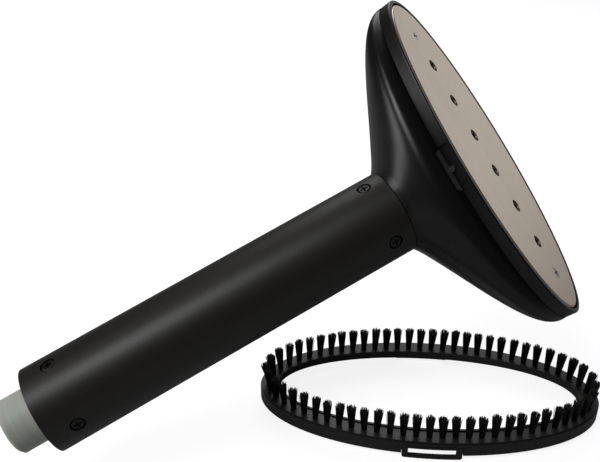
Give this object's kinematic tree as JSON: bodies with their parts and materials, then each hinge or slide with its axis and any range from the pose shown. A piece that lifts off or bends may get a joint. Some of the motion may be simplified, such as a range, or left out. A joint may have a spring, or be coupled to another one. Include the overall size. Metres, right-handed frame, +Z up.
{
  "type": "garment steamer head",
  "caption": "Hand-held steam head with a round handle, a flared head, a flat oval steam sole plate and a loose oval bristle brush ring with spring loops.",
  "frame": {"origin": "middle of the handle tube's hose end, on the tube's axis", "axes": "+Z up, +X to the right along the brush ring's length and the object's longest side, the handle held at its tilt with the sole plate facing up, right and forward (-Y)"},
  "size_m": [0.2721, 0.1468, 0.1897],
  "materials": {
    "anodised_tube": "matte black anodised, fine drawn grain",
    "moulded_black": "satin moulded",
    "ring_black": "satin moulded",
    "stainless_sole": "satin brushed",
    "natural_nylon": "turned, slightly translucent",
    "black_screw": "black oxide",
    "bright_screw": "bright",
    "brass": "turned",
    "cast_alloy": "as cast",
    "seal_rubber": "matte",
    "foam": "open foam",
    "nylon_clip": "moulded",
    "bristle": "fine filaments"
  },
  "bodies": {
    "wand": {"handle_tube": "anodised_tube", "hose_plug": "natural_nylon", "hose_end_screws": "black_screw", "neck_plug": "moulded_black", "neck_screws": "black_screw", "inlet_nipple": "brass", "inlet_o_ring": "seal_rubber", "steam_pipe": "bright_screw", "pipe_clip_inlet": "nylon_clip", "insulation_sleeve": "foam", "pipe_clip_outlet": "nylon_clip", "outlet_o_ring": "seal_rubber", "head_shell": "moulded_black", "rim_bezel": "moulded_black", "near_catch": "moulded_black", "far_catch": "moulded_black", "sole_plate": "stainless_sole", "sole_screws": "bright_screw", "screw_inserts": "brass", "steam_chamber": "cast_alloy", "chamber_gasket": "seal_rubber", "nozzle_plate": "cast_alloy", "chamber_screws": "bright_screw"},
    "brush": {"brush_ring": "ring_black", "bristle_tufts": "bristle", "tuft_anchors": "bright_screw"},
    "near_clip": {"near_loop": "ring_black"},
    "far_clip": {"far_loop": "ring_black"}
  },
  "joints": [
    {"name": "brush_lift", "type": "slide", "parent": "wand", "child": "brush", "axis": [0, -0.95, 0.3122], "range_m": [0, 0.1]},
    {"name": "near_loop_flex", "type": "hinge", "parent": "brush", "child": "near_clip", "pos_m": [0.16715, 0.02195, -0.0419], "axis": [-0.9973, 0.0732, 0], "range_deg": [0, 12], "stiffness_Nm_per_rad": 0.02},
    {"name": "far_loop_flex", "type": "hinge", "parent": "brush", "child": "far_clip", "pos_m": [0.17265, 0.09685, -0.0419], "axis": [0.9973, -0.0732, 0], "range_deg": [0, 12], "stiffness_Nm_per_rad": 0.02}
  ]
}
